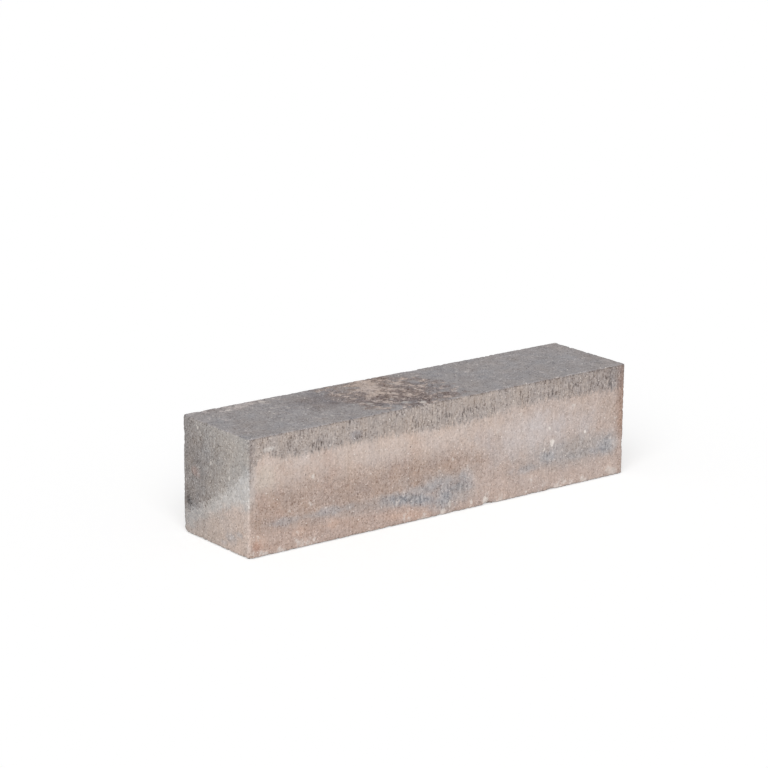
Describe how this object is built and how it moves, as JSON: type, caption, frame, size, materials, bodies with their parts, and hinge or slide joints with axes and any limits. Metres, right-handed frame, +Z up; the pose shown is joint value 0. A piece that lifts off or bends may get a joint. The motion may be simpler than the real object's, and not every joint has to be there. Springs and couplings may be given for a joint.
{
  "type": "concrete wall block",
  "caption": "Solid oblong concrete wall block with softly rounded edges, laid dry or glued in courses for garden walls, steps and edging.",
  "frame": {"origin": "middle of the bed face, the face that the block lies on", "axes": "+X along the length towards the right end, +Y from the front face to the back face, +Z up"},
  "size_m": [0.6, 0.14, 0.15],
  "materials": {
    "nuanced_concrete": "matt pressed concrete, clouded from cement grey to pinkish beige"
  },
  "bodies": {
    "root": {"wall_block": "nuanced_concrete"}
  },
  "joints": []
}
